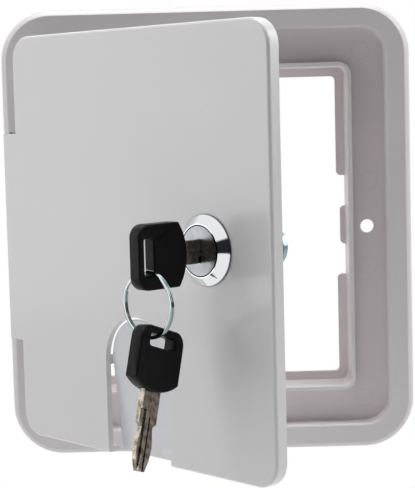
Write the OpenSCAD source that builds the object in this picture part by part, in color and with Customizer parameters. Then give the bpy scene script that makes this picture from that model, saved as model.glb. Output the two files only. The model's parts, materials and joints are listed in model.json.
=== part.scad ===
// Lockable power cord hatch for the side of a caravan or motor home.
// A moulded frame sits on the wall with its collar through the cut-out. The door hangs on a
// steel pin at the left and stands ajar, with a cam lock, its two keys and a flap for the cord.
// The model is drawn lying on its back: the wall is z = 0, the front looks up and the top of
// the hatch is +y. upright() then stands it up, so that the front looks along -Y.

/* [Frame] */
// Width of the frame
frame_w = 163.4; // [150:0.1:200]
// Height of the frame
frame_h = 180; // [165:0.5:230]
// Height of the frame's front face above the wall
frame_t = 10.5; // [10:0.1:14]
// Radius of the frame's outer corners
frame_r = 20.2; // [18:0.1:26]
// Width of the frame's sloping outer edge, seen from the front
frame_edge_w = 2.4; // [1:0.1:2.6]
// Depth of that edge
frame_edge_h = 4.2; // [3:0.1:5]
// Width of the raised band between the outer edge and the recess
band_w = 10; // [9:0.1:12]
// Wall of the hollow band
band_wall = 2.2; // [1.6:0.1:3]
// Rounding of the edge between the band and the recess
ridge_r = 1.2; // [0.5:0.1:1.5]
// Depth of the recess that the door closes into
recess_depth = 8; // [7.6:0.1:9]
// Width of the recess's floor between the band and the collar
gutter_w = 13.4; // [12.6:0.1:16]

/* [Collar] */
// Inner corner radius of the collar
collar_in_r = 3; // [2:0.1:6]
// Wall of the collar
collar_wall = 2; // [1.6:0.1:2.4]
// How far the collar's lip stands behind the front face
lip_drop = 2.8; // [2.6:0.1:4]
// How far the collar reaches through the wall
collar_back = 9.6; // [9:0.1:9.8]
// Width of the rim that turns in at the back of the collar
rim_w = 3.4; // [3:0.1:5]
// Thickness of that rim
rim_t = 2; // [1.5:0.1:3]
// Corner radius of the clear opening
opening_r = 1.8; // [1:0.1:4]
// Height of the gap in the rim around the strike tab
strike_gap_h = 41; // [36:0.5:60]
// Height of the strike tab that the cam hooks behind
strike_tab_h = 15.8; // [12:0.1:20]
// How far the strike tab stands in from the collar's wall
strike_tab_w = 2.1; // [1.5:0.1:3]
// Rounding of the rim's ends and of the tab
strike_r = 1.8; // [1:0.1:2]
// Diameter of the four screw holes in the recess
screw_hole_d = 5.5; // [4:0.1:6]
// Distance of the screw holes from the recess wall
screw_inset = 7.4; // [6:0.1:8]

/* [Hinge] */
// Distance of the hinge axis from the frame's left edge
hinge_inset = 2.3; // [2.3:0.1:3]
// Distance of the hinge axis behind the front face
hinge_drop = 4.2; // [4:0.1:4.3]
// Length of the door's hinge leaf
leaf_len = 82.6; // [60:0.1:96]
// Outer radius of the hinge barrel
barrel_r = 2.6; // [2.2:0.1:2.8]
// Diameter of the hinge pin
pin_d = 2; // [1.5:0.1:2.5]
// Depth to which each end of the pin sits in the frame
pin_grip = 7; // [5:0.1:9]
// Thickness of the frame under the hinge barrel
slot_floor = 3.2; // [3:0.1:3.4]
// Gap between the hinge leaf and the frame at each end
leaf_gap = 0.5; // [0.3:0.1:1]
// How far the leaf's front starts behind the hinge axis
leaf_nose = 1.5; // [1.2:0.1:3]

/* [Door] */
// Angle that the door stands open
door_open = 46.4; // [0:0.1:150]
// Depth of the door over its skirt
door_t = 5; // [4.6:0.1:6]
// Thickness of the door's panel
panel_t = 2.3; // [2:0.1:2.4]
// Wall of the door's skirt
skirt_wall = 2; // [1.5:0.1:3]
// Rounding of the door's front edge
door_edge_r = 1.2; // [0.5:0.1:1.4]
// Gap between the door and the recess at the top, bottom and right
door_gap = 0.7; // [0.5:0.1:0.9]
// Gap between the door and the recess at the hinge
hinge_gap = 1.1; // [1:0.1:1.5]

/* [Cord flap] */
// Width of the cord notch in the door
notch_w = 35.3; // [30:0.1:36]
// Height of the notch above the door's lower edge
notch_h = 53.1; // [48:0.1:58]
// Gap between the flap and the edge of the notch
flap_gap = 0.8; // [0.6:0.1:1.2]
// Thickness of the flap
flap_t = 1.5; // [1.2:0.1:1.6]
// How far the flap lies behind the door's panel when flush
flap_set = 0.2; // [0.2:0.1:0.4]
// Rounding of the flap's front edge
flap_edge_r = 0.9; // [0.5:0.1:1]
// Angle that the flap hangs inward
flap_tilt = 5.8; // [0:0.1:5.8]
// Distance of the flap's pivot behind its own front face
flap_pivot = 1.9; // [1.8:0.1:2]
// Radius of the flap's pivot boss and of the door's two lugs
lug_r = 1.8; // [1.6:0.1:1.9]
// Width of each of the door's two lugs
lug_w = 2.5; // [2:0.1:4]
// Diameter of the flap's pivot pin
flap_pin_d = 1.6; // [1.2:0.1:1.8]
// Gap between the flap's pivot boss and each lug
lug_gap = 1; // [0.8:0.1:1.5]
// Width of the cord relief in the collar's lip
relief_w = 40; // [38:0.5:60]

/* [Lock] */
// Distance of the lock's axis from the collar's right wall
lock_in = 17.2; // [16:0.1:20]
// Height of the lock's axis above the middle of the door
lock_y = 0.7; // [-0.5:0.1:1]
// Diameter of the lock's bezel
bezel_d = 25.2; // [24:0.1:27]
// Height of the bezel's straight edge
bezel_edge = 0.5; // [0.3:0.1:1]
// Height of the plug's face above the door
face_h = 3.5; // [3:0.1:5]
// Diameter of the plug's face
face_d = 17.3; // [16:0.1:17.6]
// Diameter of the lock's threaded barrel
barrel_d = 19; // [18.6:0.1:20]
// Distance across the barrel's two flats
barrel_flats = 16.6; // [16:0.1:17.6]
// Solid length of the plug between the keyway and the barrel's end
plug_solid = 3.3; // [3:0.1:4.5]
// Diameter of the plug
plug_d = 13.4; // [13:0.1:13.6]
// Radial running gap of turning and hinged parts
run_gap = 0.05; // [0.02:0.01:0.08]
// Gap between the face of the plug and its seat in the bezel
seat_gap = 0.2; // [0.1:0.1:0.4]
// Depth of the plug's face
face_t = 3; // [2.5:0.1:3.5]
// Size across the flats of the lock's nut
nut_flats = 23.6; // [22:0.1:26]
// Thickness of the nut
nut_t = 2.4; // [2:0.1:3]
// Thickness of the washer under the nut
nut_washer_t = 0.6; // [0.5:0.1:0.8]
// Diameter of that washer
nut_washer_d = 25; // [24:0.1:26]

/* [Cam] */
// Distance from the lock's axis to the cam's tip
cam_reach = 17.3; // [16.5:0.1:19]
// Width of the cam
cam_w = 14; // [12:0.1:16]
// Thickness of the cam
cam_t = 2; // [1.5:0.1:3]
// Diameter of the plug's tail, which drives the cam
tail_d = 9; // [8:0.1:9]
// Distance across the tail's flats
tail_flats = 7; // [6:0.1:7]
// Thickness of the clip that holds the plug
clip_t = 0.8; // [0.6:0.1:0.9]
// Depth of the clip's groove in the tail
clip_groove = 0.8; // [0.5:0.1:1]
// Outer diameter of the clip
clip_d = 13; // [11.5:0.1:13.4]
// Thickness of the washer under the cam screw
cam_washer_t = 0.8; // [0.6:0.1:1.2]
// Diameter of the cam screw's thread
cam_screw_d = 4; // [3:0.1:4]
// Length of the cam screw's thread
cam_screw_len = 5; // [4:0.1:5.4]
// Diameter of the cam screw's head
cam_head_d = 8; // [7:0.1:9]
// Height of the cam screw's head
cam_head_h = 2.4; // [2:0.1:3]

/* [Wafers] */
// Number of wafers in the plug
wafer_n = 6; // [5:1:6]
// Distance from wafer to wafer
wafer_pitch = 2.2; // [2:0.1:2.2]
// Thickness of a wafer
wafer_t = 1; // [0.8:0.1:1]
// Width of a wafer
wafer_w = 6.4; // [6:0.1:6.8]
// Height of a wafer
wafer_h = 11.4; // [11:0.1:11.6]
// Depth of the first wafer behind the plug's face
wafer_first = 4.2; // [4:0.1:4.8]
// Width of a wafer's spring arm
wafer_arm_w = 1.5; // [1.2:0.1:1.5]
// Height of a wafer's spring arm
wafer_arm_h = 1.2; // [1:0.1:1.5]
// Outer diameter of a wafer's spring
spring_d = 1; // [0.8:0.1:1]
// Diameter of the spring's wire
spring_wire = 0.25; // [0.2:0.05:0.3]
// Length of a wafer's spring
spring_len = 3; // [2.5:0.1:3.5]

/* [Keys] */
// Length of the key's black bow
bow_l = 21.7; // [20:0.1:26]
// Width of the bow
bow_w = 22.2; // [20:0.1:26]
// Thickness of the bow
bow_t = 5.2; // [4:0.1:6]
// Radius of the bow's outer corners
bow_r = 4.6; // [3:0.1:6]
// Rise of the curved end of the bow toward the blade
bow_rise = 3.6; // [2:0.1:6]
// Length of the slot across the bow
slot_l = 12.6; // [12:0.1:15]
// Width of that slot
slot_w = 4.2; // [4:0.1:5]
// Radius of the slot's corners
slot_r = 0.8; // [0.5:0.1:0.9]
// Distance of the slot from the bow's outer end
slot_in = 2.6; // [2:0.1:3]
// Length of the blade beyond the bow
blade_l = 26.6; // [26.4:0.1:28]
// Room behind the blade's tip in the keyway
tip_room = 1; // [0.5:0.1:2]
// Width of the blade
blade_w = 8.2; // [7.5:0.1:8.4]
// Thickness of the blade
blade_t = 2.2; // [1.8:0.1:2.3]
// Length of the blade's tang inside the bow
tang_l = 9; // [7:0.1:12]
// Gap around the tang and around the blade in the plug
blade_gap = 0.1; // [0.05:0.05:0.2]
// Length of the blade that shows between the plug and the first bow
neck_l = 7.6; // [7:0.1:10]
// Length of the blade before its first cut
shank_l = 10.5; // [7:0.1:12]
// Width of the thin groove milled in each face of the blade
mill_w = 0.8; // [0.6:0.1:1.2]
// Width of the wide groove along one edge of each face
edge_mill_w = 2.4; // [1.8:0.1:2.6]
// Length of plain blade in front of the wide groove
mill_start = 6; // [4:0.1:8]
// Depth of the milled grooves
mill_d = 0.6; // [0.4:0.1:0.8]

/* [Ring] */
// Outer diameter of the split ring
ring_d = 23.6; // [21:0.1:26]
// Radial thickness of the ring's wire
ring_wire = 1.3; // [1.2:0.1:1.4]
// Thickness of the ring's two turns together
ring_t = 1.5; // [1.3:0.1:1.6]
// Turn of the ring away from the plane of the door
ring_turn = 3; // [0:0.5:8]
// How far the ring hangs toward the door from the middle of the slot
ring_set = 0.9; // [0:0.1:1]
// Distance of the ring's wire from the edge of each slot that it hangs in
ring_seat = 1.5; // [1.4:0.05:1.6]
// Angle that the hanging key swings away from the door
key_tilt = 19; // [0:0.5:20]
// Turn of the hanging key about the upright, toward the lock's side
key_turn = 8.5; // [0:0.5:10]
// Lean of the hanging key to the side
key_lean = 3; // [0:0.5:4]
// Place of the ring along the hanging key's slot, from its middle
ring_along = 4.6; // [0:0.1:4.8]

/* [Hidden] */
$fn = 64;
cut = 1;

// Depth of each cut in the blade's two edges, from the bow to the tip
bitting = [1.6, 1.4, 0.8, 0.6, 0.8, 1.1];

recess_w = frame_w - 2 * band_w;
recess_h = frame_h - 2 * band_w;
recess_r = frame_r - band_w;
floor_t = frame_t - recess_depth;
collar_in_w = recess_w - 2 * (gutter_w + collar_wall);
collar_in_h = recess_h - 2 * (gutter_w + collar_wall);
lip_z = frame_t - lip_drop;
opening_w = collar_in_w - 2 * rim_w;
opening_h = collar_in_h - 2 * rim_w;
screw_x = recess_w / 2 - screw_inset;
screw_y = recess_h / 2 - screw_inset;

hinge_x = hinge_inset - frame_w / 2;
hinge_z = frame_t - hinge_drop;
pin_len = leaf_len + 2 * (leaf_gap + pin_grip);
hinge_block = pin_len + 2 * band_wall;

door_left = hinge_gap - recess_w / 2;
door_right = recess_w / 2 - door_gap;
door_mid = (door_left + door_right) / 2;
door_w = door_right - door_left;
door_h = recess_h - 2 * door_gap;
door_r = recess_r - door_gap;
panel_z = frame_t - panel_t;

notch_r = notch_w / 2;
notch_y = notch_h - door_h / 2 - notch_r;
flap_r = notch_r - flap_gap;
flap_front = panel_z - flap_set;
flap_end = 0.3 - door_h / 2;
pivot_y = notch_y;
pivot_z = flap_front - flap_pivot;
boss_w = notch_w - 2 * lug_gap;
flap_pin_len = notch_w + 2 * lug_w + 1;

lock_x = collar_in_w / 2 - lock_in;
face_z = frame_t + face_h;
head_z = face_z - face_t;
keyway_end = face_z - (blade_l - neck_l) - tip_room;
barrel_end = keyway_end - plug_solid;
barrel_len = frame_t - barrel_end;
plug_bore = plug_d + 2 * run_gap;
face_bore = face_d + 2 * seat_gap;
clip_z = barrel_end - clip_t - run_gap;
cam_z = clip_z - run_gap - cam_t;
tail_end = cam_z + 0.2;
cam_washer_z = cam_z - cam_washer_t;

keyway_w = blade_t + 2 * blade_gap;
keyway_h = blade_w + 2 * blade_gap;
wafer_z = face_z - wafer_first;
wafer_slot = wafer_t + 2 * run_gap;
channel_w = wafer_w + 2 * run_gap;
channel_r = plug_d / 2 + 0.8;
arm_x = (wafer_w + wafer_arm_w) / 2;
arm_y = 1.4;

bow_z = face_z + neck_l;
slot_z = bow_z + bow_l - slot_in - slot_w / 2;
ring_z = slot_z - ring_set;
ring_mean_r = (ring_d - ring_wire) / 2;
ring_top_y = ring_seat - slot_l / 2;
ring_mid_y = ring_top_y - ring_mean_r;
ring_low_y = ring_mid_y - ring_mean_r;
hang_in = slot_in + ring_seat;

// Placing of the pieces

// Stands the model up: the wall becomes the plane Y = 0, and the front looks along -Y
module upright() {
    rotate([90, 0, 0]) children();
}

// Swings a piece of the closed door about the hinge pin
module on_door() {
    upright() translate([hinge_x, 0, hinge_z]) rotate([0, -door_open, 0])
        translate([-hinge_x, 0, -hinge_z]) children();
}

// Puts a piece on the lock's axis in the door; z stays the height above the wall
module on_lock() {
    on_door() translate([lock_x, lock_y, 0]) children();
}

// Tips a piece of the flush flap about its own pin
module on_flap() {
    on_door() translate([0, pivot_y, pivot_z]) rotate([flap_tilt, 0, 0])
        translate([0, -pivot_y, -pivot_z]) children();
}

// A key in its own frame points down: its axis is z, its width y, and its outer end z = bow_l
module in_plug() {
    on_lock() translate([0, 0, bow_z]) children();
}

// The second key hangs by the end of its slot from the lowest point of the ring
module on_ring() {
    on_lock() translate([0, ring_low_y, ring_z])
        rotate([0, key_turn, 0]) rotate([0, 0, key_lean]) rotate([-90 - key_tilt, 0, 0])
            translate([0, ring_along, hang_in - bow_l]) children();
}

// Shared shapes

// Rectangle with round corners
module rounded(w, h, r) {
    square([w - 2 * r, h], center = true);
    square([w, h - 2 * r], center = true);
    for (x = [-1, 1], y = [-1, 1])
        translate([x * (w / 2 - r), y * (h / 2 - r)]) circle(r);
}

// Runs a section around a rectangle with round corners; the section's x is measured from
// the middle of the corner's arc, and its y is the height
module around(w, h, r) {
    for (side = [[w, h, 0], [h, w, 90], [w, h, 180], [h, w, 270]]) {
        long = side[1] - 2 * r;
        rotate([0, 0, side[2]]) {
            translate([side[0] / 2 - r, long / 2, 0]) rotate([90, 0, 0])
                linear_extrude(long) children();
            translate([side[0] / 2 - r, long / 2, 0])
                rotate_extrude(angle = 90) children();
        }
    }
}

// Section of a wall with a rounding on each top edge
module wall_section(x, w, z, h, r_in, r_out) {
    r_max = max(r_in, r_out);
    translate([x, z]) square([w, h - r_max]);
    translate([x, z]) square([w / 2, h - r_in]);
    translate([x + w / 2, z]) square([w / 2, h - r_out]);
    translate([x + r_in, z]) square([w - r_in - r_out, h]);
    translate([x + r_in, z + h - r_in]) circle(r_in);
    translate([x + w - r_out, z + h - r_out]) circle(r_out);
}

// Cylinder along y
module rod(d, len) {
    rotate([90, 0, 0]) cylinder(d = d, h = len, center = true);
}

// Cylinder along x
module cross_rod(d, len) {
    rotate([0, 90, 0]) cylinder(d = d, h = len, center = true);
}

// Round bar with two flats, in section
module double_d(d, flats) {
    intersection() {
        circle(d = d);
        square([d + cut, flats], center = true);
    }
}

// Frame

module frame() {
    color("white") upright() difference() {
        union() {
            around(frame_w, frame_h, frame_r) band_section();
            linear_extrude(floor_t)
                rounded(recess_w + band_wall, recess_h + band_wall, recess_r + band_wall / 2);
            collar();
        }
        translate([0, 0, rim_t - collar_back])
            linear_extrude(frame_t + collar_back) rounded(collar_in_w, collar_in_h, collar_in_r);
        translate([0, 0, -collar_back - cut])
            linear_extrude(rim_t + 2 * cut) rim_opening();
        band_hollow();
        hinge_slot();
        screw_holes();
        cord_relief();
    }
}

// Section of the band: its outer edge is an arc that starts upright at the side and meets the
// front face in a crease, and its inner edge is rounded
module band_section() {
    edge_r = (frame_edge_w * frame_edge_w + frame_edge_h * frame_edge_h) / (2 * frame_edge_w);
    translate([recess_r, 0]) square([band_w, frame_t - frame_edge_h]);
    translate([recess_r, 0]) square([ridge_r + cut, frame_t - ridge_r]);
    translate([recess_r + ridge_r, 0]) square([band_w - frame_edge_w - ridge_r, frame_t]);
    translate([recess_r + ridge_r, frame_t - ridge_r]) circle(ridge_r);
    intersection() {
        translate([recess_r + band_w - edge_r, frame_t - frame_edge_h]) circle(edge_r);
        translate([recess_r + band_w / 2, 0]) square([band_w, frame_t]);
    }
}

// Collar through the wall, with its rounded lip and the rim at its back
module collar() {
    outer_w = collar_in_w + 2 * collar_wall;
    outer_h = collar_in_h + 2 * collar_wall;
    outer_r = collar_in_r + collar_wall;
    lip_r = 0.4 * collar_wall;
    around(outer_w, outer_h, outer_r)
        wall_section(collar_in_r, collar_wall, -collar_back, lip_z + collar_back, lip_r, lip_r);
    translate([0, 0, -collar_back]) linear_extrude(rim_t)
        rounded(outer_w - collar_wall, outer_h - collar_wall, outer_r - collar_wall / 2);
}

// Clear opening inside the rim, with the gap for the strike tab at the right
module rim_opening() {
    gap_x = opening_w / 2;
    gap_end = collar_in_w / 2;
    difference() {
        union() {
            rounded(opening_w, opening_h, opening_r);
            translate([gap_x - opening_r, -strike_gap_h / 2])
                square([gap_end - gap_x + opening_r, strike_gap_h]);
            for (side = [-1, 1])
                difference() {
                    translate([gap_x, side * (strike_gap_h / 2 + strike_r / 2)])
                        square([2 * strike_r, strike_r], center = true);
                    translate([gap_x + strike_r, side * (strike_gap_h / 2 + strike_r)])
                        circle(strike_r);
                }
        }
        translate([gap_end - strike_tab_w + strike_r, -strike_tab_h / 2])
            square([strike_tab_w, strike_tab_h]);
        translate([gap_end - strike_tab_w, strike_r - strike_tab_h / 2])
            square([strike_tab_w + strike_r, strike_tab_h - 2 * strike_r]);
        for (side = [-1, 1])
            translate([gap_end - strike_tab_w + strike_r, side * (strike_tab_h / 2 - strike_r)])
                circle(strike_r);
    }
}

// The band is hollow from behind, but solid around the hinge pin
module band_hollow() {
    difference() {
        translate([0, 0, -cut]) around(frame_w, frame_h, frame_r)
            translate([recess_r + band_wall, 0])
                square([band_w - 2 * band_wall, frame_t - band_wall + cut]);
        translate([-frame_w / 2, 0, frame_t / 2])
            cube([2 * frame_r, hinge_block, 2 * frame_t], center = true);
    }
}

// Cut for the door's hinge leaf, and the bore for the pin's two ends
module hinge_slot() {
    slot_len = leaf_len + 2 * leaf_gap;
    translate([-frame_w / 2 - cut, -slot_len / 2, slot_floor])
        cube([band_w + cut + ridge_r, slot_len, frame_t]);
    translate([hinge_x, 0, hinge_z]) rod(pin_d + 2 * run_gap, pin_len);
}

// One hole in the middle of each side of the recess
module screw_holes() {
    for (place = [[screw_x, 0], [-screw_x, 0], [0, screw_y], [0, -screw_y]])
        translate([place[0], place[1], -cut]) cylinder(d = screw_hole_d, h = floor_t + 2 * cut);
}

// The lip is left out behind the cord notch, down to the floor of the recess
module cord_relief() {
    lip_in = collar_in_h / 2 - cut;
    translate([-relief_w / 2, -lip_in - collar_wall - 2 * cut, floor_t])
        cube([relief_w, collar_wall + 2 * cut, frame_t]);
}

// Door

module door() {
    color("whitesmoke") on_door() difference() {
        union() {
            translate([door_mid, 0, 0]) around(door_w, door_h, door_r)
                wall_section(door_r - skirt_wall, skirt_wall, frame_t - door_t, door_t,
                    door_edge_r / 4, door_edge_r);
            translate([door_mid, 0, panel_z]) linear_extrude(panel_t)
                rounded(door_w - 2 * door_edge_r, door_h - 2 * door_edge_r, door_r - door_edge_r);
            hinge_leaf();
            flap_lugs();
        }
        translate([hinge_x, 0, hinge_z]) rod(pin_d + 2 * run_gap, leaf_len + cut);
        cord_notch();
        translate([lock_x, lock_y, panel_z - cut]) linear_extrude(panel_t + 2 * cut)
            double_d(barrel_d + 2 * run_gap, barrel_flats + 2 * run_gap);
        translate([0, pivot_y, pivot_z])
            cross_rod(flap_pin_d + 2 * run_gap, notch_w + 4 * lug_w);
    }
}

// Leaf at the left edge of the door, with the barrel that turns on the hinge pin; its outer
// end slopes down to the barrel, so that it clears the frame when the door is wide open
module hinge_leaf() {
    slope = 46;
    nose = [[hinge_x - barrel_r * cos(slope), hinge_z + barrel_r * sin(slope)],
        [hinge_x + leaf_nose, frame_t], [door_left + skirt_wall, frame_t],
        [door_left + skirt_wall, panel_z], [hinge_x, panel_z], [hinge_x, hinge_z]];
    rotate([90, 0, 0]) linear_extrude(leaf_len, center = true) {
        polygon(nose);
        translate([hinge_x, hinge_z]) circle(barrel_r);
    }
}

// Notch with a round top in the middle of the door's lower edge
module cord_notch() {
    translate([0, notch_y, 0]) {
        translate([0, 0, pivot_z - lug_r - cut]) cylinder(r = notch_r, h = frame_t);
        translate([-notch_r, -door_h, pivot_z - lug_r - cut]) cube([notch_w, door_h, frame_t]);
    }
}

// Two lugs behind the panel that carry the flap's pin
module flap_lugs() {
    for (side = [-1, 1])
        translate([side * (notch_r + lug_w / 2), pivot_y, 0]) {
            translate([0, 0, pivot_z]) cross_rod(2 * lug_r, lug_w);
            translate([-lug_w / 2, -lug_r, pivot_z])
                cube([lug_w, 2 * lug_r, panel_z + panel_t / 2 - pivot_z]);
        }
}

module hinge_pin() {
    color("silver") on_door() translate([hinge_x, 0, hinge_z]) rod(pin_d, pin_len - 2 * leaf_gap);
}

// Cord flap

module cord_flap() {
    straight = pivot_y - flap_end;
    color("white") on_flap() difference() {
        union() {
            translate([0, notch_y, flap_front - flap_t]) {
                cylinder(r = flap_r, h = flap_t - flap_edge_r);
                cylinder(r = flap_r - flap_edge_r, h = flap_t);
                translate([0, 0, flap_t - flap_edge_r]) rotate_extrude(angle = 180)
                    translate([flap_r - flap_edge_r, 0]) circle(flap_edge_r);
            }
            translate([0, notch_y, flap_front - flap_t]) rotate([90, 0, 0])
                linear_extrude(straight) flap_section();
            translate([0, pivot_y, pivot_z]) cross_rod(2 * lug_r, boss_w);
        }
        translate([0, pivot_y, pivot_z]) cross_rod(flap_pin_d + 2 * run_gap, notch_w + cut);
    }
}

// Section of the flap's straight part, with its two front edges rounded
module flap_section() {
    translate([-flap_r, 0]) square([2 * flap_r, flap_t - flap_edge_r]);
    translate([flap_edge_r - flap_r, 0]) square([2 * (flap_r - flap_edge_r), flap_t]);
    for (side = [-1, 1])
        translate([side * (flap_r - flap_edge_r), flap_t - flap_edge_r]) circle(flap_edge_r);
}

module flap_pin() {
    color("silver") on_door() translate([0, pivot_y, pivot_z])
        cross_rod(flap_pin_d, flap_pin_len - 1);
}

// Lock

// Bezel, threaded barrel with two flats, and the bore for the plug with a channel above and
// below it, into which the wafers drop when the key is out
module lock_body() {
    color("gainsboro") on_lock() difference() {
        union() {
            translate([0, 0, frame_t]) cylinder(d = bezel_d, h = bezel_edge);
            translate([0, 0, frame_t + bezel_edge])
                cylinder(d1 = bezel_d, d2 = face_bore + 1, h = face_h - bezel_edge);
            translate([0, 0, barrel_end]) linear_extrude(barrel_len)
                double_d(barrel_d, barrel_flats);
        }
        translate([0, 0, head_z - seat_gap]) cylinder(d = face_bore, h = face_t + cut);
        translate([0, 0, barrel_end - cut]) cylinder(d = plug_bore, h = head_z - barrel_end + cut);
        translate([-channel_w / 2, -channel_r, barrel_end - cut])
            cube([channel_w, 2 * channel_r, wafer_z + wafer_pitch / 2 - barrel_end + cut]);
    }
}

// Plug with its face, the keyway, the wafer slots and the tail that drives the cam
module lock_plug() {
    color("silver") on_lock() difference() {
        union() {
            translate([0, 0, head_z]) cylinder(d = face_d, h = face_t);
            translate([0, 0, barrel_end]) cylinder(d = plug_d, h = head_z - barrel_end);
            translate([0, 0, tail_end]) linear_extrude(barrel_end - tail_end)
                double_d(tail_d, tail_flats);
        }
        translate([-keyway_w / 2, -keyway_h / 2, keyway_end])
            cube([keyway_w, keyway_h, face_z - keyway_end + cut]);
        for (i = [0 : wafer_n - 1]) translate([0, 0, wafer_z - i * wafer_pitch]) wafer_space();
        difference() {
            translate([0, 0, clip_z - run_gap]) cylinder(d = tail_d + cut, h = clip_t + 2 * run_gap);
            translate([0, 0, clip_z - cut]) linear_extrude(clip_t + 2 * cut)
                double_d(tail_d - 2 * clip_groove, tail_flats - clip_groove);
        }
        translate([0, 0, tail_end - cut]) cylinder(d = cam_screw_d + 2 * run_gap, h = cam_screw_len + cut);
    }
}

// Slot across the plug for one wafer, with the pocket of its spring
module wafer_space() {
    pocket_h = spring_len + 2 * wafer_arm_h;
    cube([channel_w, plug_d + cut, wafer_slot], center = true);
    translate([arm_x, arm_y - wafer_arm_h / 2 - spring_len + pocket_h / 2, 0])
        cube([wafer_arm_w + 4 * run_gap, pocket_h, wafer_slot], center = true);
}

// Wafer: a flat plate with a window for the blade, and an arm that rests on the spring
module wafer(i) {
    color("goldenrod") on_lock() translate([0, 0, wafer_z - (i - 1) * wafer_pitch])
        difference() {
            union() {
                cube([wafer_w, wafer_h, wafer_t], center = true);
                translate([arm_x - wafer_arm_w / 4, arm_y, 0])
                    cube([1.5 * wafer_arm_w, wafer_arm_h, wafer_t], center = true);
            }
            cube([keyway_w, keyway_h, wafer_t + cut], center = true);
        }
}

// Coil spring between the arm and the floor of its pocket
module wafer_spring(i) {
    coils = 5;
    coil_h = spring_len - spring_wire;
    color("silver") on_lock()
        translate([arm_x, arm_y - (wafer_arm_h + spring_wire) / 2,
                wafer_z - (i - 1) * wafer_pitch])
            rotate([90, 0, 0]) linear_extrude(coil_h, twist = 360 * coils, slices = 9 * coils, segments = 6)
                translate([(spring_d - spring_wire) / 2, 0]) circle(d = spring_wire, $fn = 6);
}

module lock_nut() {
    color("lightgray") on_lock()
        translate([0, 0, panel_z - nut_washer_t - nut_t]) difference() {
            cylinder(d = nut_flats / cos(30), h = nut_t, $fn = 6);
            translate([0, 0, -cut]) cylinder(d = barrel_d + 2 * run_gap, h = nut_t + 2 * cut);
        }
}

module nut_washer() {
    color("silver") on_lock() translate([0, 0, panel_z - nut_washer_t]) difference() {
        cylinder(d = nut_washer_d, h = nut_washer_t);
        translate([0, 0, -cut]) cylinder(d = barrel_d + 2 * run_gap, h = nut_washer_t + 2 * cut);
    }
}

// Open clip in the groove of the tail, which keeps the plug in the body
module plug_clip() {
    inner_d = tail_d - 2 * clip_groove + 2 * run_gap;
    color("silver") on_lock() translate([0, 0, clip_z]) linear_extrude(clip_t) difference() {
        circle(d = clip_d);
        circle(d = inner_d);
        translate([-inner_d / 2, 0]) square([inner_d, clip_d]);
    }
}

module cam() {
    color("lightsteelblue") on_lock() translate([0, 0, cam_z]) linear_extrude(cam_t)
        difference() {
            union() {
                circle(d = cam_w);
                translate([0, -cam_w / 2]) square([cam_reach - cam_w / 2, cam_w]);
                translate([cam_reach - cam_w / 2, 0]) circle(d = cam_w);
            }
            double_d(tail_d + 2 * run_gap, tail_flats + 2 * run_gap);
        }
}

module cam_washer() {
    color("silver") on_lock() translate([0, 0, cam_washer_z]) difference() {
        cylinder(d = cam_head_d + 3, h = cam_washer_t);
        translate([0, 0, -cut]) cylinder(d = cam_screw_d + 2 * run_gap, h = cam_washer_t + 2 * cut);
    }
}

// Screw with a domed head and a cross recess
module cam_screw() {
    recess_l = 0.55 * cam_head_d;
    color("lightgray") on_lock() translate([0, 0, cam_washer_z]) difference() {
        union() {
            cylinder(d = cam_screw_d, h = cam_screw_len + cam_washer_t + tail_end - cam_z - 0.5);
            translate([0, 0, -cam_head_h / 2]) cylinder(d = cam_head_d, h = cam_head_h / 2);
            translate([0, 0, -cam_head_h])
                cylinder(d1 = 0.7 * cam_head_d, d2 = cam_head_d, h = cam_head_h / 2);
        }
        for (turn = [0, 90])
            rotate([0, 0, turn]) translate([0, 0, -cam_head_h])
                cube([recess_l, 1, cam_head_h], center = true);
    }
}

// Keys

// Height and half width of the blade at each cut; the cuts stand at the wafers
function cut_z(i) = -neck_l - wafer_first - i * wafer_pitch;
function cut_half(i) = blade_w / 2 - bitting[i];

// Outline of the blade from the tang to the blunt tip
module blade_outline() {
    n = len(bitting);
    tip = cut_half(n - 1);
    right = [for (i = [0 : n - 1]) [cut_half(i), cut_z(i)]];
    left = [for (i = [n - 1 : -1 : 0]) [-cut_half(i), cut_z(i)]];
    polygon(concat([[-blade_w / 2, tang_l], [blade_w / 2, tang_l], [blade_w / 2, -shank_l]],
        right, [[0.5 * tip, -blade_l], [-0.5 * tip, -blade_l]], left,
        [[-blade_w / 2, -shank_l]]));
}

// Blade with cuts in both edges; each face has a wide groove at one edge and a thin one
module key_blade() {
    difference() {
        rotate([90, 0, 90]) linear_extrude(blade_t, center = true) blade_outline();
        for (side = [-1, 1])
            translate([side * blade_t / 2, 0, 0])
                for (row = [[-blade_w / 2, mill_start, 2 * edge_mill_w],
                        [mill_w / 2, mill_start + 2.5, mill_w]])
                    translate([0, side * row[0], -blade_l / 2 - row[1]])
                        cube([2 * mill_d, row[2], blade_l], center = true);
    }
}

// Outline of the bow: round outer corners, and a curved end toward the blade
module bow_outline() {
    half = bow_w / 2;
    end_r = (half * half + bow_rise * bow_rise) / (2 * bow_rise);
    intersection() {
        translate([0, end_r]) circle(end_r);
        translate([-half, 0]) square([bow_w, bow_l / 2]);
    }
    translate([-half, bow_rise]) square([bow_w, bow_l - bow_r - bow_rise]);
    translate([bow_r - half, bow_rise]) square([bow_w - 2 * bow_r, bow_l - bow_rise]);
    for (side = [-1, 1])
        translate([side * (half - bow_r), bow_l - bow_r]) circle(bow_r);
}

// Moulded bow with its slot and the pocket for the tang
module key_bow() {
    difference() {
        rotate([90, 0, 90]) linear_extrude(bow_t, center = true) difference() {
            bow_outline();
            translate([0, bow_l - slot_in - slot_w / 2]) rounded(slot_l, slot_w, slot_r);
        }
        translate([-blade_t / 2 - blade_gap, -blade_w / 2 - blade_gap, -cut])
            cube([blade_t + 2 * blade_gap, blade_w + 2 * blade_gap, tang_l + blade_gap + cut]);
    }
}

module key_1_blade() {
    color("tan") in_plug() key_blade();
}

module key_1_bow() {
    color("black") in_plug() key_bow();
}

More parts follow.
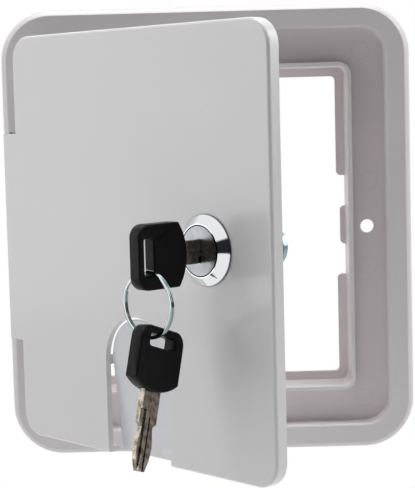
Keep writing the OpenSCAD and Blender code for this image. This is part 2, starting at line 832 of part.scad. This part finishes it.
module key_2_blade() {
    color("tan") on_ring() key_blade();
}

module key_2_bow() {
    color("black") on_ring() key_bow();
}

// Two flat turns side by side, with the seam between them
module split_ring() {
    turn_t = ring_t / 2;
    color("lightsteelblue") on_lock() translate([0, ring_mid_y, ring_z])
        rotate([0, ring_turn, 0]) rotate_extrude()
            for (side = [-1, 1])
                translate([ring_mean_r, side * turn_t / 2]) {
                    square([ring_wire, 0.6 * turn_t], center = true);
                    square([0.8 * ring_wire, turn_t], center = true);
                }
}

frame();
door();
hinge_pin();
cord_flap();
flap_pin();
lock_body();
lock_plug();
wafer(1);  // wafer_1
wafer(2);  // wafer_2
wafer(3);  // wafer_3
wafer(4);  // wafer_4
wafer(5);  // wafer_5
wafer(6);  // wafer_6
wafer_spring(1);  // wafer_spring_1
wafer_spring(2);  // wafer_spring_2
wafer_spring(3);  // wafer_spring_3
wafer_spring(4);  // wafer_spring_4
wafer_spring(5);  // wafer_spring_5
wafer_spring(6);  // wafer_spring_6
lock_nut();
nut_washer();
plug_clip();
cam();
cam_washer();
cam_screw();
key_1_blade();
key_1_bow();
split_ring();
key_2_blade();
key_2_bow();
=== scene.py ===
import json
import math

import bpy
import numpy as np
from mathutils import Matrix, Vector


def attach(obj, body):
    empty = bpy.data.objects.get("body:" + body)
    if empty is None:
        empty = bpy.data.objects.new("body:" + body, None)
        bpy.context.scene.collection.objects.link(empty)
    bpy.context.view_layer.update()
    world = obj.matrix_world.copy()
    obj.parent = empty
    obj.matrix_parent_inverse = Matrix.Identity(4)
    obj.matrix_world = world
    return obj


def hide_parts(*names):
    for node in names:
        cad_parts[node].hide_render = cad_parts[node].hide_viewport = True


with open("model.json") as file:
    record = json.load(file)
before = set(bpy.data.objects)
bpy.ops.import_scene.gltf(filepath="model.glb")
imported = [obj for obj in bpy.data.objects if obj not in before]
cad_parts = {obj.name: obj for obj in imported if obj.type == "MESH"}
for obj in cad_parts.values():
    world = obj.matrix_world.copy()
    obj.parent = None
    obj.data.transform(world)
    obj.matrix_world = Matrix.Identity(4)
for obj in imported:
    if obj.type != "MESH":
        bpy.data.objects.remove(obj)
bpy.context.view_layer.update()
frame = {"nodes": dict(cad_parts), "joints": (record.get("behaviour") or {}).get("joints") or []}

MM = 0.001

# Camera
# The hatch is seen from straight in front and a little above, from about 0.61 m away.
# Turn and place were fitted to the frame's edges and to the door's corners.
YAW, PITCH, ROLL = 0.42, 5.31, -1.48
AIM_X, AIM_Y, DISTANCE = 0.776, -5.979, 607.5
FOCAL_PIXELS, IMAGE_H = 1483.2, 488


def turn(axis, degrees):
    """Rotation by an angle about one axis, as a 3 by 3 array of its cosine and sine."""
    return np.array(Matrix.Rotation(math.radians(degrees), 3, axis))


# In the lens's own axes x looks right, y down and z away from the photographer
wall_to_lens = turn("Z", ROLL) @ turn("X", PITCH) @ turn("Y", YAW) @ np.array(
    [[1, 0, 0], [0, 0, -1], [0, 1, 0]])
lens_place = -wall_to_lens.T @ np.array([AIM_X, AIM_Y, DISTANCE]) * MM
camera_data = bpy.data.cameras.new("camera")
camera = bpy.data.objects.new("camera", camera_data)
bpy.context.scene.collection.objects.link(camera)
camera_turn = wall_to_lens.T @ np.diag([1.0, -1.0, -1.0])
camera.matrix_world = Matrix.Translation(lens_place) @ Matrix(camera_turn.tolist()).to_4x4()
camera_data.sensor_width = 36
camera_data.lens = FOCAL_PIXELS * 36 / IMAGE_H
camera_data.clip_start, camera_data.clip_end = 0.02, 20
camera_data.dof.use_dof = False
bpy.context.scene.camera = camera
bpy.context.scene.view_settings.view_transform = "Standard"


# Frame
# One moulding of white ASA: a rounded band around a recess, with a collar through the wall.
# It is screwed to the wall through the recess. The surface is smooth, with faint flow marks
# and, in the recess, the round marks of the pins that push it out of the mould.
class Socket:
    """A value inside a finish. Arithmetic on it adds the Math node that does the same."""

    def __init__(self, finish, out):
        self.finish, self.out = finish, out

    def math(self, operation, a, b=0.0, c=0.0):
        return self.finish.node("ShaderNodeMath", {"operation": operation}, {0: a, 1: b, 2: c})

    def __add__(self, other):
        return self.math("ADD", self, other)

    def __sub__(self, other):
        return self.math("SUBTRACT", self, other)

    def __rsub__(self, other):
        return self.math("SUBTRACT", other, self)

    def __mul__(self, other):
        return self.math("MULTIPLY", self, other)

    def __truediv__(self, other):
        return self.math("DIVIDE", self, other)

    def __pow__(self, other):
        return self.math("POWER", self, other)

    __radd__, __rmul__ = __add__, __mul__

    def below(self, limit):
        return self.math("LESS_THAN", self, limit)

    def size(self):
        return self.math("ABSOLUTE", self)

    def wave(self):
        return self.math("SINE", self)

    def ramp(self, low, high, to_low=0.0, to_high=1.0):
        """Runs smoothly from to_low to to_high while the value goes from low to high."""
        return self.finish.node(
            "ShaderNodeMapRange", {"interpolation_type": "SMOOTHSTEP"},
            {0: self, 1: low, 2: high, 3: to_low, 4: to_high})


class Finish:
    """A material with one glossy shader. What is the same all over is set on the shader."""

    def __init__(self, name, **fixed):
        self.material = bpy.data.materials.new(name)
        self.material.use_nodes = True
        self.tree = self.material.node_tree
        self.shader = self.tree.nodes["Principled BSDF"]
        self.set(**fixed)
        place = self.tree.nodes.new("ShaderNodeTexCoord")
        self.place = Socket(self, place.outputs["Object"])

    def set(self, **values):
        for name, value in values.items():
            self.join(value, self.shader.inputs[name.replace("_", " ")])

    def join(self, value, socket):
        if isinstance(value, Socket):
            self.tree.links.new(value.out, socket)
        elif isinstance(value, tuple) and len(value) == 3 and socket.type == "RGBA":
            socket.default_value = (*value, 1)
        else:
            socket.default_value = value

    def node(self, kind, settings, sockets, out=0):
        made = self.tree.nodes.new(kind)
        for name, value in settings.items():
            setattr(made, name, value)
        for name, value in sockets.items():
            self.join(value, made.inputs[name])
        return Socket(self, made.outputs[out])

    def axes(self):
        """The place on the object as three separate values, in metres."""
        made = self.tree.nodes.new("ShaderNodeSeparateXYZ")
        self.join(self.place, made.inputs[0])
        return [Socket(self, o) for o in made.outputs]

    def noise(self, size, detail=3.0, roughness=0.55, at=None, stretch=(1, 1, 1)):
        """Cloudy values from 0 to 1, in lumps of about that size in millimetres."""
        where = self.node("ShaderNodeMapping", {}, {"Vector": at or self.place, "Scale": stretch})
        return self.node("ShaderNodeTexNoise", {}, {
            "Vector": where, "Scale": 1 / (size * MM), "Detail": detail, "Roughness": roughness})

    def mix(self, share, a, b):
        """Colour a where share is 0, and colour b where it is 1."""
        return self.node("ShaderNodeMix", {"data_type": "RGBA"}, {0: share, 6: a, 7: b}, out=2)

    def bump(self, height, depth, strength=1.0, under=None):
        """Normal of a surface whose height runs from 0 to depth, in millimetres."""
        sockets = {"Height": height, "Distance": depth * MM, "Strength": strength}
        if under is not None:
            sockets["Normal"] = under
        return self.node("ShaderNodeBump", {}, sockets)

    def give(self, *nodes):
        """Puts the finish on each piece of the object that is named."""
        for name in nodes:
            piece = frame["nodes"].get(name) or bpy.data.objects[name]
            piece.data.materials.clear()
            piece.data.materials.append(self.material)


def white_moulding(name, colour, shade, rough, coat, wave_depth):
    """White plastic: a faint cloud between two near colours, and slight waves in the gloss."""
    white = Finish(name, Coat_Weight=coat, Coat_Roughness=0.12, IOR=1.49)
    tone = white.mix(white.noise(45, 0), colour, shade)
    white.set(Base_Color=tone, Roughness=white.noise(20, 0).ramp(0, 1, rough, rough + 0.04))
    soft = white.bump(white.noise(0.5, 2), 0.002, under=white.bump(white.noise(55, 0), wave_depth))
    white.set(Normal=soft)
    return white, tone, soft


# Metres: the floor's front face, and the radius and width of a pin's mark
FLOOR_FRONT, MARK_R, MARK_WIDTH = -0.0029, 0.0034, 0.0004
frame_white, tone, soft = white_moulding(
    "frame_white", (0.80, 0.768, 0.776), (0.795, 0.763, 0.771), 0.36, 0.10, 0.03)
across, away, up = frame_white.axes()
in_recess = (away - FLOOR_FRONT).ramp(0, 0.0002)
# Partly tint and partly painted shade: the recess floor and the collar behind it get a slightly
# darker, pinker tone
tone = frame_white.mix(in_recess, tone, (0.79, 0.728, 0.738))
marks = None
for mark_x, mark_z in [(62.5, 71), (65.2, 18.6), (64.6, -16.1), (-62.5, 71), (-65.2, 18.6),
                       (-64.6, -16.1), (62.0, -71), (-62.0, -71)]:
    reach = ((across - mark_x * MM) ** 2 + (up - mark_z * MM) ** 2) ** 0.5
    rim = (reach - MARK_R).size().ramp(0.0, MARK_WIDTH, 1, 0)
    marks = rim if marks is None else marks + rim
rims = marks * in_recess
frame_white.set(Base_Color=frame_white.mix(rims * 0.25, tone, (0.60, 0.57, 0.58)),
                Normal=frame_white.bump(rims, 0.06, under=soft))
frame_white.give("frame")


# Hinge pin
# A drawn steel wire that runs through the door's barrel and into the band at both ends.
def drawn_steel(name, colour, rough):
    """Steel with fine lines: noise that is stretched a hundred times along the height."""
    steel = Finish(name, Metallic=1.0)
    lines = steel.noise(0.3, 4, stretch=(1, 1, 0.01))
    steel.set(Base_Color=steel.mix(lines, colour, tuple(0.82 * c for c in colour)),
              Roughness=lines.ramp(0.2, 0.8, rough - 0.06, rough + 0.08),
              Normal=steel.bump(lines, 0.004))
    return steel


drawn_steel("pin_steel", (0.62, 0.62, 0.63), 0.28).give("hinge_pin", "flap_pin")


# Door
# A polished white ASA moulding with a skirt around it. Its hinge leaf wraps the steel pin.
door_white, _, _ = white_moulding(
    "door_white", (0.82, 0.808, 0.81), (0.813, 0.80, 0.803), 0.28, 0.35, 0.03)
door_white.give("door")


# Cord flap
# A thin tongue of the same plastic, which hangs from its own steel pin in the cord notch.
flap_white, _, _ = white_moulding(
    "flap_white", (0.80, 0.81, 0.84), (0.785, 0.795, 0.83), 0.24, 0.5, 0.03)
flap_white.give("cord_flap")


# Lock body
# A zinc casting with polished chrome on its bezel. The barrel behind the door carries a fine
# thread with two flats, and a hexagonal nut with a washer draws it tight.
def chrome(name, colour, rough, dust):
    """Plated metal: nearly even, with a light film that dulls it in patches."""
    plate = Finish(name, Metallic=1.0)
    film = plate.noise(3, 4)
    plate.set(Base_Color=plate.mix(film * dust, colour, tuple(0.7 * c for c in colour)),
              Roughness=film.ramp(0.3, 0.75, rough, rough + dust * 0.2),
              Normal=plate.bump(plate.noise(0.4, 2), 0.002))
    return plate


def joint(name):
    """What the frame says of a joint: its place, axis and range."""
    return next(j for j in frame["joints"] if j["name"] == name)


# The closed door lies at the low end of its hinge's range, which gives its angle at rest
door_angle = math.radians(-joint("door_hinge")["range_deg"][0])
lock_at = np.array(joint("plug_turn")["pos_m"])
inward = np.array(joint("plug_turn")["axis"], float)
along = np.array([math.cos(door_angle), -math.sin(door_angle), 0.0])
upward = np.array([0.0, 0.0, 1.0])


def off_axis(finish):
    """Distance of a point from the lock's axis, in metres, as a value for a finish."""
    x, y, z = finish.axes()
    beside = (x - float(lock_at[0])) * float(along[0]) + (y - float(lock_at[1])) * float(along[1])
    return (beside ** 2 + (z - float(lock_at[2])) ** 2) ** 0.5


bezel = chrome("bezel_chrome", (0.80, 0.81, 0.83), 0.05, 0.1)
bright = bezel.mix(bezel.noise(3, 3) * 0.1, (0.80, 0.81, 0.83), (0.6, 0.6, 0.62))
# Painted shade: inside the bore's mouth the colour is near black, and the bezel's outer rim is
# painted darker for the shade of its seat
BORE_MOUTH_R, RIM_R = 0.0091, 0.0123
from_axis = off_axis(bezel)
chrome_with_painted_rim_shade = bezel.mix(from_axis.ramp(RIM_R, RIM_R + 0.0002), bright, (0.16, 0.16, 0.18))
bezel.set(Base_Color=bezel.mix(
    from_axis.ramp(BORE_MOUTH_R, BORE_MOUTH_R + 0.0001), (0.03, 0.03, 0.03), chrome_with_painted_rim_shade))
bezel.give("lock_body")


def on_lock(x, y, depth):
    """Places points by the lock's axis: x along the door, y up and depth behind the face."""
    return (lock_at + x[..., None] * along * MM + y[..., None] * upward * MM
            + depth[..., None] * inward * MM)


def surface(name, points, body, around=True, ends=False):
    """Mesh of a grid of points. The second direction closes on itself if around is true, and
    a disc of triangles closes each end if ends is true."""
    rows, cols = points.shape[:2]
    flat = points.reshape(-1, 3)
    i, j = np.meshgrid(np.arange(rows - 1), np.arange(cols if around else cols - 1),
                       indexing="ij")
    k = (j + 1) % cols
    faces = np.stack([i * cols + j, i * cols + k, (i + 1) * cols + k, (i + 1) * cols + j],
                     -1).reshape(-1, 4).tolist()
    if ends:
        faces += [list(range(cols))[::-1], list(range((rows - 1) * cols, rows * cols))]
    mesh = bpy.data.meshes.new(name)
    mesh.from_pydata(flat.tolist(), [], faces)
    mesh.validate()
    piece = bpy.data.objects.new(name, mesh)
    bpy.context.scene.collection.objects.link(piece)
    bpy.context.view_layer.objects.active = piece
    for other in bpy.context.selected_objects:
        other.select_set(False)
    piece.select_set(True)
    bpy.ops.object.mode_set(mode="EDIT")
    bpy.ops.mesh.select_all(action="SELECT")
    bpy.ops.mesh.normals_make_consistent(inside=False)
    bpy.ops.object.mode_set(mode="OBJECT")
    bpy.ops.object.shade_smooth_by_angle(angle=math.radians(40))
    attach(piece, body)
    return piece


# Thread of the barrel: radius = core + rise * (1 - |2 * frac(depth / pitch - turn) - 1|), cut
# off at the two flats
THREAD_CORE, THREAD_RISE, THREAD_PITCH, FLAT_HALF = 9.45, 0.5, 1.0, 8.35
THREAD_FROM, THREAD_TO = 6.0, 19.9
depth, angle = np.meshgrid(np.linspace(THREAD_FROM, THREAD_TO, 14 * 12),
                           np.linspace(0, 2 * np.pi, 97)[:-1], indexing="ij")
phase = (depth / THREAD_PITCH - angle / (2 * np.pi)) % 1
radius = THREAD_CORE + THREAD_RISE * (1 - np.abs(2 * phase - 1))
thread = surface("barrel_thread", on_lock(
    radius * np.cos(angle), np.clip(radius * np.sin(angle), -FLAT_HALF, FLAT_HALF), depth),
    "door")
thread_metal = chrome("thread_zinc", (0.60, 0.61, 0.62), 0.22, 0.5)
thread_metal.give("barrel_thread")
nut_metal = chrome("nut_zinc", (0.44, 0.51, 0.53), 0.26, 0.6)
nut_metal.give("lock_nut", "nut_washer", "cam_washer", "cam_screw")


# Plug
# The turning core of the lock, a dulled casting. It holds six brass wafers on coil springs,
# and an open steel clip behind the barrel keeps it in.
plug_metal = chrome("plug_chrome", (0.30, 0.31, 0.33), 0.24, 0.5)
plug_metal.give("lock_plug")
brass = drawn_steel("wafer_brass", (0.66, 0.50, 0.24), 0.30)
brass.give(*["wafer_%d" % i for i in range(1, 7)])
drawn_steel("spring_steel", (0.42, 0.43, 0.45), 0.30).give(
    "plug_clip", *["wafer_spring_%d" % i for i in range(1, 7)])


# Cam
# A flat steel plate, zinc plated with a bluish film, that hooks behind the strike tab.
cam_metal = chrome("cam_zinc", (0.30, 0.42, 0.45), 0.26, 0.5)
cam_metal.give("cam")


# Keys
# Nickel-plated brass blades, cut on both edges, in moulded bows of satin black plastic.
nickel = Finish("key_nickel", Metallic=1.0)
strokes = nickel.noise(0.25, 4, stretch=(1, 1, 0.05))
# Painted dark reflection and tarnish: the blades' colours are kept dark to stand in for dark
# reflections, and they vary in patches
tarnish_and_painted_reflection = nickel.noise(2.2, 4)
nickel.set(Base_Color=nickel.mix(tarnish_and_painted_reflection.ramp(0.35, 0.7), (0.37, 0.33, 0.28), (0.12, 0.095, 0.07)),
           Roughness=strokes.ramp(0.25, 0.75, 0.20, 0.32), Normal=nickel.bump(strokes, 0.01))
nickel.give("key_1_blade", "key_2_blade")
black = Finish("bow_black", IOR=1.45, Specular_IOR_Level=0.14)
pores = black.noise(0.35, 3)
black.set(Base_Color=black.mix(black.noise(5, 2), (0.0025, 0.0025, 0.003), (0.005, 0.005, 0.006)),
          Roughness=black.noise(3, 3).ramp(0.3, 0.7, 0.30, 0.38), Normal=black.bump(pores, 0.012))
black.give("key_1_bow", "key_2_bow")


def soften(width, *nodes):
    """Rounds each sharp edge of a piece from the CAD by that many millimetres."""
    for name in nodes:
        piece = frame["nodes"][name]
        piece.modifiers.new("weld", "WELD").merge_threshold = 0.01 * MM
        bevel = piece.modifiers.new("bevel", "BEVEL")
        bevel.width, bevel.segments = width * MM, 3
        bevel.limit_method, bevel.angle_limit = "ANGLE", math.radians(40)
        bevel.harden_normals = True


soften(0.7, "key_1_bow", "key_2_bow")


# Split ring
# Nickel-plated spring wire, rolled flat and coiled twice round. It hangs in both bows' slots.
def coil(middle, flat_way, mean_r, wire, turn_t, start):
    """Wire with a rounded flat section, coiled just under two turns. Its middle line is
    middle + mean_r * (cos a * flat_way + sin a * up) + side(a) * axle: a runs from start
    through nearly two turns, and side crosses from one turn's plane to the other's just
    before the first turn is complete."""
    missing, cross_from, cross_over = 0.75, 0.7, 0.65  # radians
    blunt, end_over, squareness, turn_fill = 0.7, 0.03, 0.6, 0.47
    axle = np.cross(flat_way, upward)
    a, b = np.meshgrid(np.linspace(0, 4 * np.pi - missing, 260),
                       np.linspace(0, 2 * np.pi, 25)[:-1], indexing="ij")
    step = np.clip((a - (2 * np.pi - cross_from)) / cross_over, 0, 1)
    side = turn_t * (step * step * (3 - 2 * step) - 0.5)
    taper = np.minimum(1, np.minimum(a, a.max() - a) / end_over * (1 - blunt) + blunt)
    out = mean_r + taper * wire / 2 * np.sign(np.cos(b)) * np.abs(np.cos(b)) ** squareness
    over = side + (taper * turn_fill * turn_t * np.sign(np.sin(b))
                   * np.abs(np.sin(b)) ** squareness)
    where = a + start
    return (middle + MM * (out * np.cos(where))[..., None] * flat_way
            + MM * (out * np.sin(where))[..., None] * upward + MM * over[..., None] * axle)


upper = np.array(joint("ring_swing")["pos_m"])
lower = np.array(joint("key_2_swing")["pos_m"])
# The ring's turn out of the door's plane, the wire's width and thickness, and where it starts
RING_TURN, RING_WIRE, RING_TURN_T = math.radians(3), 1.25, 0.75
WIRE_START = math.radians(160)
ring_way = math.cos(RING_TURN) * along + math.sin(RING_TURN) * inward
ring_mean_r = float(np.linalg.norm(upper - lower)) / 2 / MM
ring = surface("ring_coil", coil((upper + lower) / 2, ring_way, ring_mean_r, RING_WIRE,
                                 RING_TURN_T, WIRE_START), "ring", ends=True)
# Painted dark reflection: the wire's colour is kept dark to stand in for the dark reflections of
# the studio
chrome("ring_steel", (0.33, 0.38, 0.38), 0.06, 0.15).give("ring_coil")
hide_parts("split_ring")


# Studio
# A pale floor below the hatch, a white background, and soft lamps above and at both sides.
PALE = 0.8


def white_to_camera(tree, colour, kind, plain):
    """Shows white to the camera and its own colour to reflections, and the plain shader to
    the rest."""
    path = tree.nodes.new("ShaderNodeLightPath")
    seen = tree.nodes.new("ShaderNodeMath")
    seen.operation = "MAXIMUM"
    tree.links.new(path.outputs["Is Camera Ray"], seen.inputs[0])
    tree.links.new(path.outputs["Is Glossy Ray"], seen.inputs[1])
    also = tree.nodes.new("ShaderNodeMath")
    also.operation = "MAXIMUM"
    tree.links.new(seen.outputs[0], also.inputs[0])
    tree.links.new(path.outputs["Is Transmission Ray"], also.inputs[1])
    white = tree.nodes.new(kind)
    white.inputs["Color"].default_value = (*colour, 1)
    blend = tree.nodes.new("ShaderNodeMixShader")
    tree.links.new(also.outputs[0], blend.inputs[0])
    tree.links.new(plain.outputs[0], blend.inputs[1])
    tree.links.new(white.outputs[0], blend.inputs[2])
    return blend, white


world = bpy.data.worlds.new("studio")
bpy.context.scene.world = world
world.use_nodes = True
background = world.node_tree.nodes["Background"]
background.inputs["Color"].default_value = (0.9, 0.93, 1.0, 1)
background.inputs["Strength"].default_value = 0.06
shown, seen_world = white_to_camera(
    world.node_tree, (1, 1, 1), "ShaderNodeBackground", background)
world.node_tree.links.new(shown.outputs[0], world.node_tree.nodes["World Output"].inputs[0])


def dark_side(tree, seen_white):
    """Lets reflections see a dark screen at the front right of the studio, from a little below
    the horizon to some way above it."""
    def made(kind, *values, **settings):
        node = tree.nodes.new(kind)
        for name, value in settings.items():
            setattr(node, name, value)
        for socket, value in zip(node.inputs, values):
            if hasattr(value, "default_value"):
                tree.links.new(value, socket)
            elif value is not None:
                socket.default_value = value
        return node.outputs[0]

    way = tree.nodes.new("ShaderNodeSeparateXYZ")
    tree.links.new(tree.nodes.new("ShaderNodeTexCoord").outputs["Generated"], way.inputs[0])
    x, y, z = way.outputs
    right = made("ShaderNodeMath", x, 0.6, operation="MULTIPLY")
    front = made("ShaderNodeMath", y, -0.8, right, operation="MULTIPLY_ADD")
    smooth = dict(interpolation_type="SMOOTHSTEP")
    shares = [made("ShaderNodeMapRange", front, 0.25, 0.40, 0.0, 1.0, **smooth),
              made("ShaderNodeMapRange", z, -0.22, -0.15, 0.0, 1.0, **smooth),
              made("ShaderNodeMapRange", z, 0.38, 0.48, 1.0, 0.0, **smooth)]
    share = made("ShaderNodeMath", shares[0], shares[1], operation="MULTIPLY")
    share = made("ShaderNodeMath", share, shares[2], operation="MULTIPLY")
    path = tree.nodes.new("ShaderNodeLightPath")
    share = made("ShaderNodeMath", share, path.outputs["Is Glossy Ray"], operation="MULTIPLY")
    mixed = tree.nodes.new("ShaderNodeMix")
    mixed.data_type = "RGBA"
    tree.links.new(share, mixed.inputs[0])
    mixed.inputs[6].default_value = (1, 1, 1, 1)
    mixed.inputs[7].default_value = (0.02, 0.022, 0.03, 1)
    tree.links.new(mixed.outputs[2], seen_white.inputs["Color"])


dark_side(world.node_tree, seen_world)

FLOOR_Z = -0.16
floor_mesh = bpy.data.meshes.new("floor")
floor_mesh.from_pydata([(x, y, FLOOR_Z) for x, y in [(-1, -1), (1, -1), (1, 1), (-1, 1)]], [],
                       [(0, 1, 2, 3)])
floor = bpy.data.objects.new("floor", floor_mesh)
bpy.context.scene.collection.objects.link(floor)
floor_paint = bpy.data.materials.new("floor_pale")
floor_paint.use_nodes = True
floor_tree = floor_paint.node_tree
floor_shader = floor_tree.nodes["Principled BSDF"]
floor_shader.inputs["Base Color"].default_value = (PALE, PALE, PALE, 1)
floor_shader.inputs["Roughness"].default_value = 0.9
floor_shown, _ = white_to_camera(
    floor_tree, (1, 1, 1), "ShaderNodeEmission", floor_shader)
floor_tree.links.new(floor_shown.outputs[0], floor_tree.nodes["Material Output"].inputs[0])
floor.data.materials.append(floor_paint)


def lamp(name, place, aim, wide, high, power, colour=(1, 1, 1)):
    """A soft rectangular lamp that looks at a point; sizes and places are in metres."""
    data = bpy.data.lights.new(name, "AREA")
    data.shape, data.size, data.size_y = "RECTANGLE", wide, high
    data.energy, data.color = power, colour
    made = bpy.data.objects.new(name, data)
    bpy.context.scene.collection.objects.link(made)
    tilt = (Vector(aim) - Vector(place)).to_track_quat("-Z", "Y")
    made.matrix_world = Matrix.Translation(place) @ tilt.to_matrix().to_4x4()
    return made


lamp("top", (0, 0.0, 1.0), (0, -0.03, 0), 1.0, 0.5, 9.8)
lamp("left", (-1.3, -0.30, 0.4), (0, -0.05, 0), 1.3, 1.4, 7)
lamp("right", (1.05, -0.08, 0.5), (0, -0.03, 0), 0.5, 0.9, 6)
